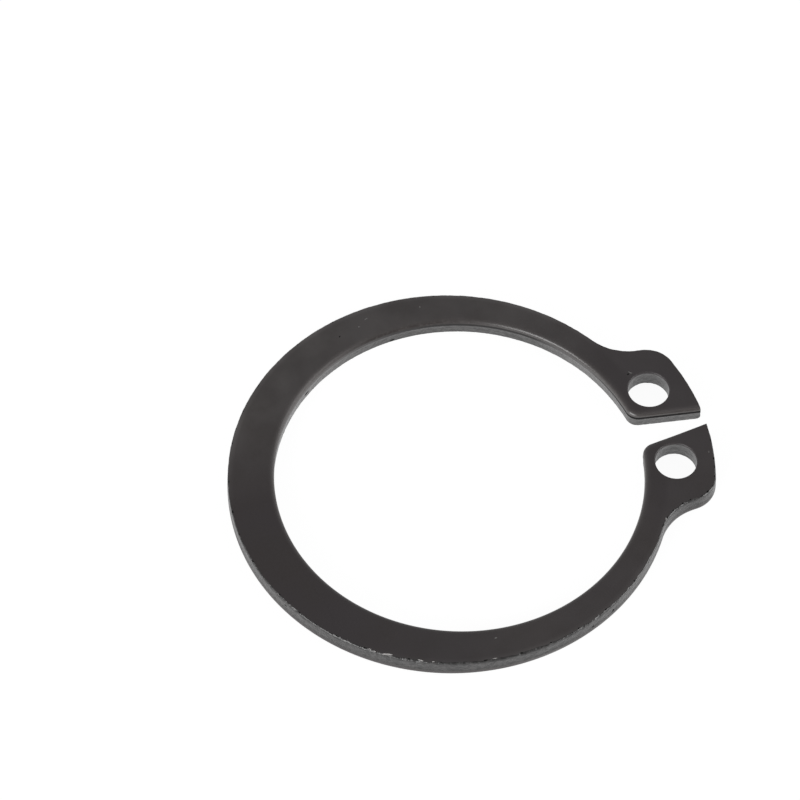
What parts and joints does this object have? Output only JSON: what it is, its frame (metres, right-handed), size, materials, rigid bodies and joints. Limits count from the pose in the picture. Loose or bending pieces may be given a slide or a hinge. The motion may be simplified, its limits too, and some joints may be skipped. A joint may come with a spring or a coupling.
{
  "type": "external circlip",
  "caption": "Flat open spring ring for a shaft groove: tapered eccentric band ending in pierced lugs beside a narrow gap, stamped from dark phosphated steel.",
  "frame": {"origin": "on the shaft's axis, in the plane of the lower face", "axes": "+Z along the shaft's axis, out of the upper face, whose bore edge is the rounded one; +X through the middle of the gap; the ring is symmetric about the XZ plane"},
  "size_m": [0.0293, 0.0266, 0.0012],
  "materials": {
    "phosphated_steel": "dark grey phosphated and oiled spring steel, satin on the faces, rougher and lighter on the sheared walls"
  },
  "bodies": {
    "root": {"external_circlip": "phosphated_steel"}
  },
  "joints": []
}
